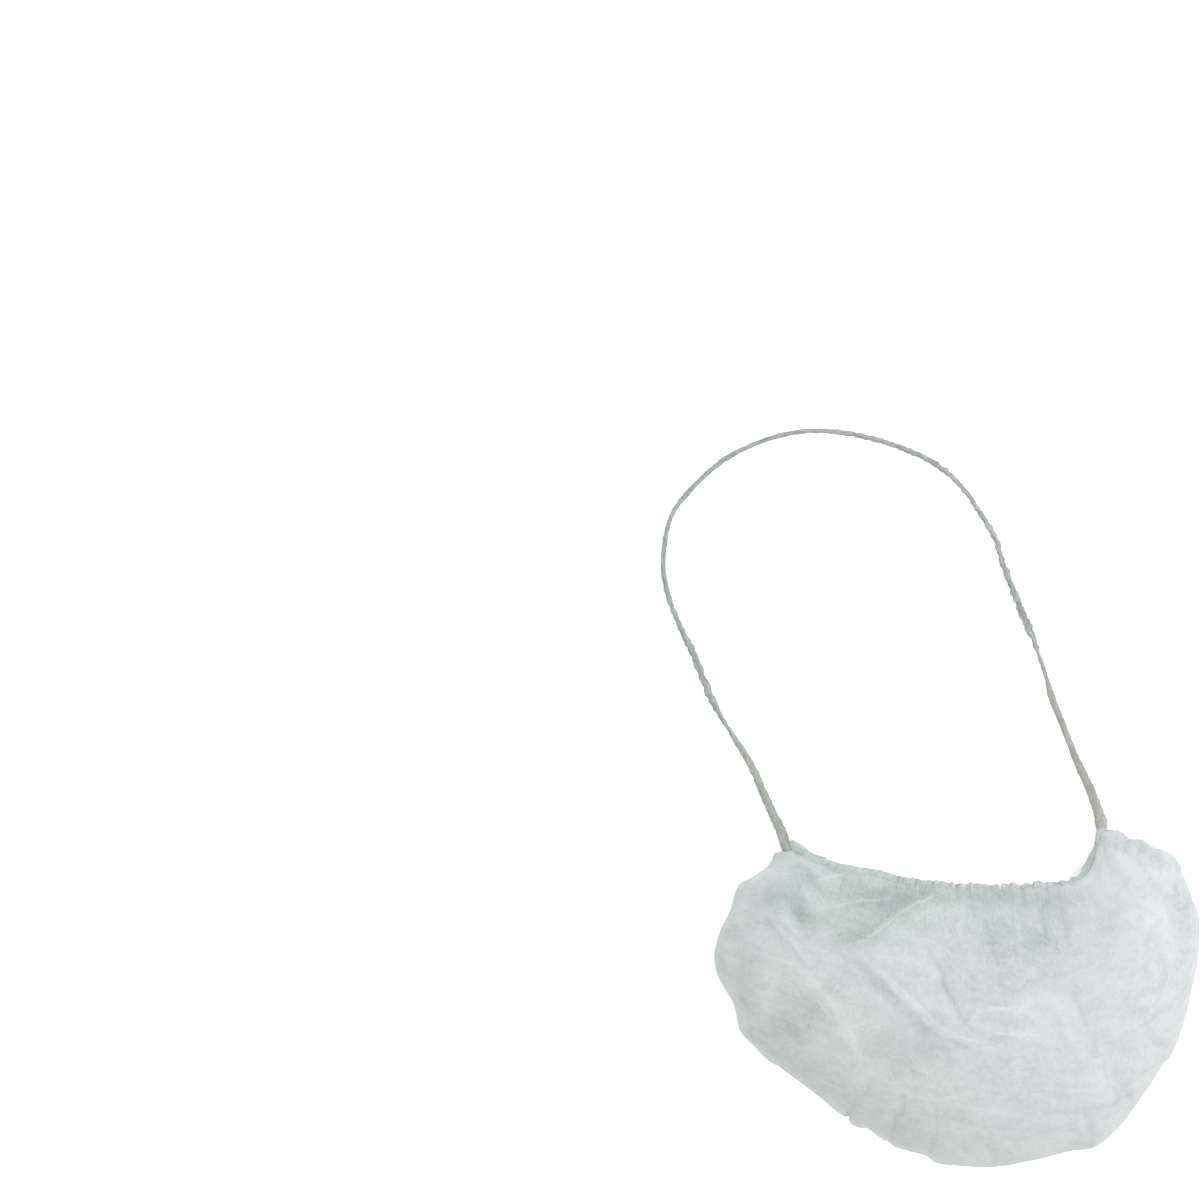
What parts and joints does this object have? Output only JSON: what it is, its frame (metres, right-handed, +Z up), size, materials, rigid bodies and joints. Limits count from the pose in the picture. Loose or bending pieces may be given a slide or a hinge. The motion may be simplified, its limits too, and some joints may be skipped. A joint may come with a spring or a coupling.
{
  "type": "beard cover",
  "caption": "Disposable spunbond beard cover with a puffed pouch, a gathered elastic mouth and a head loop, lying flat.",
  "frame": {"origin": "on the surface that the cover lies on, under the middle of the pouch", "axes": "+Z up from the surface, +Y out of the pouch's mouth towards the head loop, +X towards the right cheek as seen from above"},
  "size_m": [0.2467, 0.3371, 0.0503],
  "materials": {
    "pouch_cloth": "matte thin spunbond, slightly see-through",
    "hem_cloth": "matte gathered spunbond over elastic",
    "loop_cloth": "matte crinkled spunbond wrapped round elastic"
  },
  "bodies": {
    "root": {"pouch": "pouch_cloth", "mouth_edge_front": "hem_cloth", "mouth_edge_back": "hem_cloth", "left_gather": "hem_cloth", "right_gather": "loop_cloth", "head_loop": "loop_cloth"}
  },
  "joints": []
}
